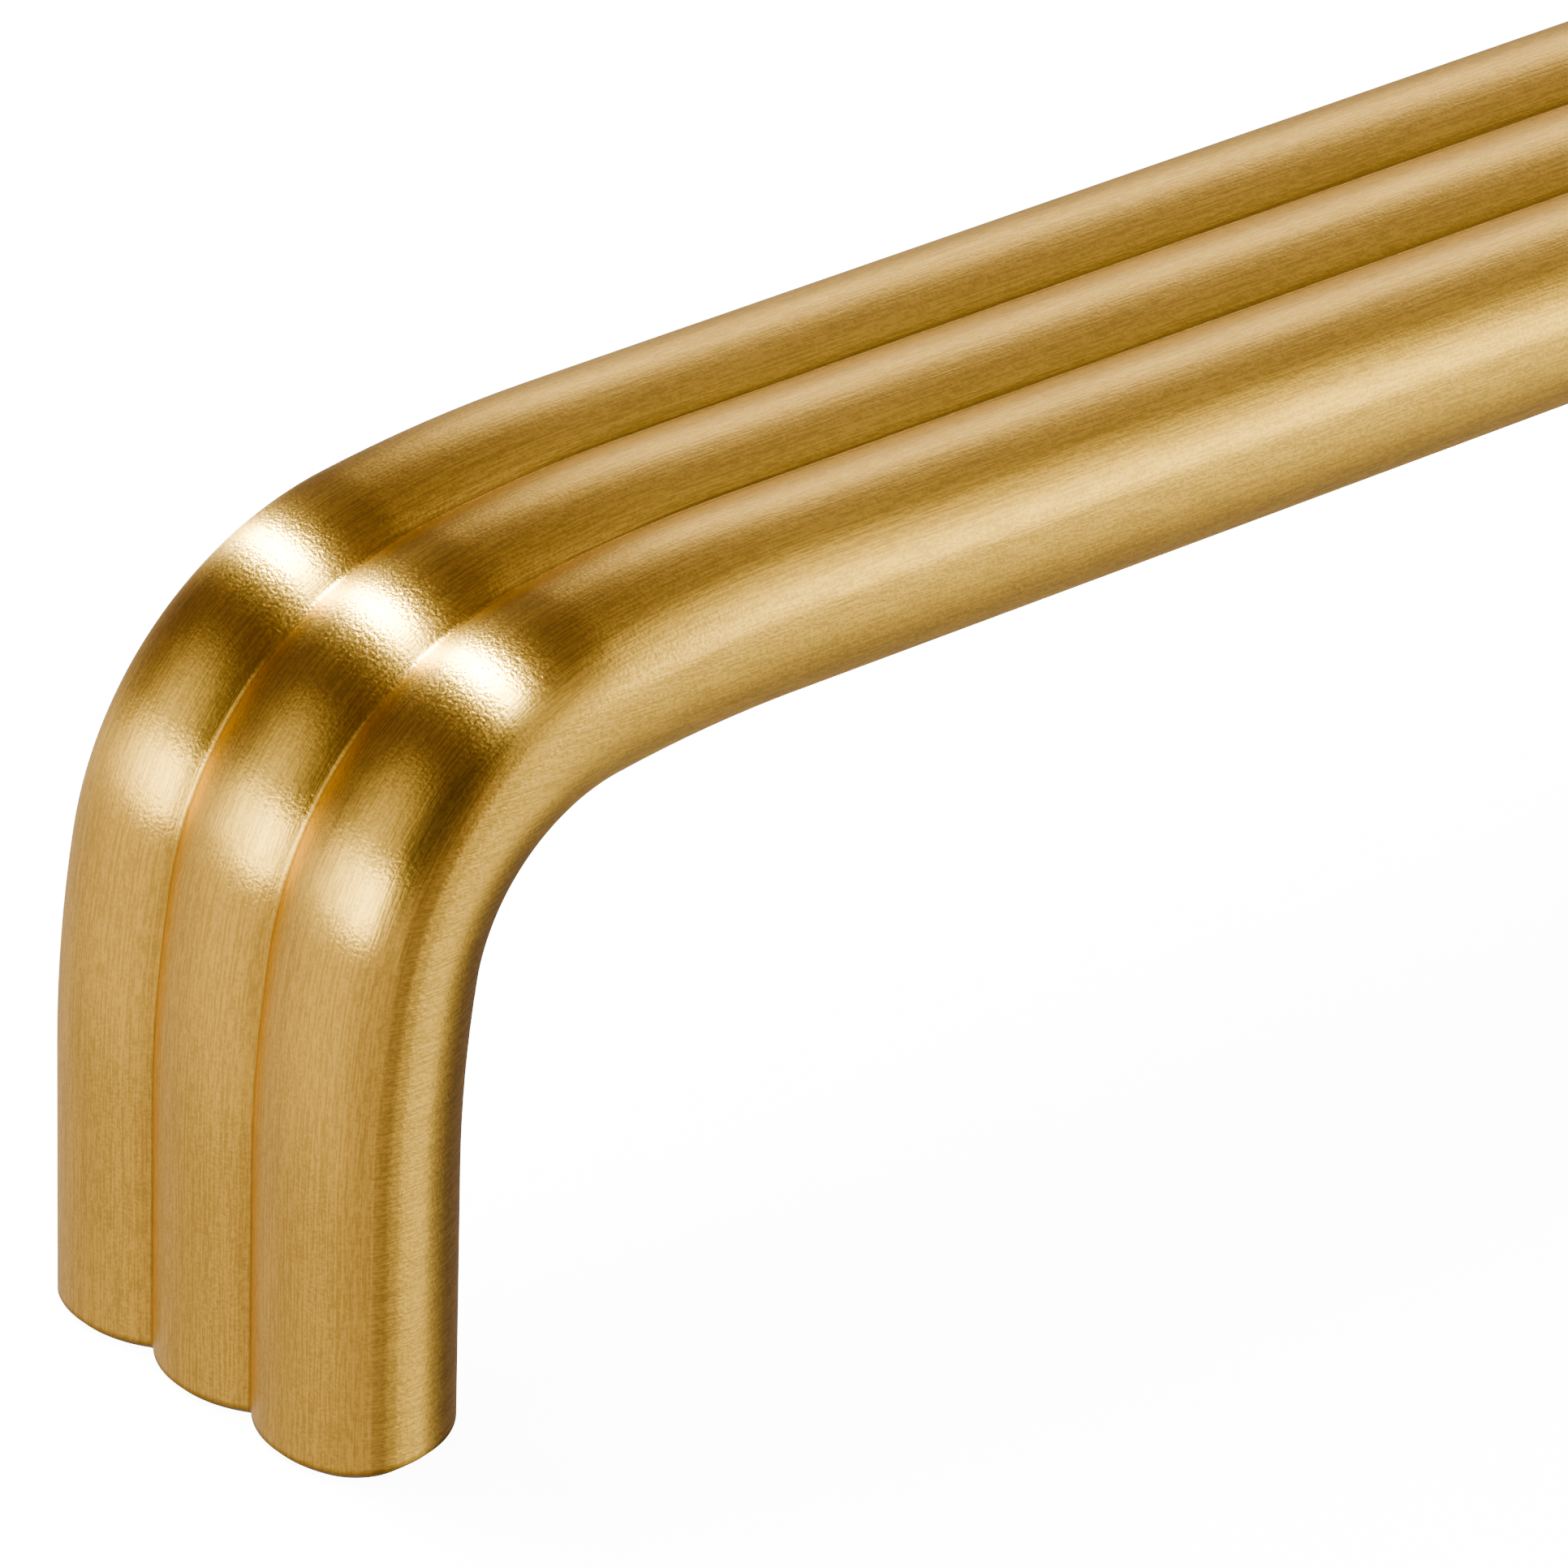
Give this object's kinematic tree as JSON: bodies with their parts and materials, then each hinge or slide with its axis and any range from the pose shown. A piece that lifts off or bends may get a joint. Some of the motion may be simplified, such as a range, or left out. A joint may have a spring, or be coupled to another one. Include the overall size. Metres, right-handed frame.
{
  "type": "cabinet pull",
  "caption": "D-shaped bar pull with rounded reeds along its outer face, bent at both ends through eased curves into straight legs with blind screw holes in the feet.",
  "frame": {"origin": "on the mounting plane, midway between the two screw holes", "axes": "+X along the bar, +Y across the bar, +Z away from the cabinet front"},
  "size_m": [0.168, 0.019, 0.0325],
  "materials": {
    "brass": "brushed satin"
  },
  "bodies": {
    "root": {"pull": "brass"}
  },
  "joints": []
}
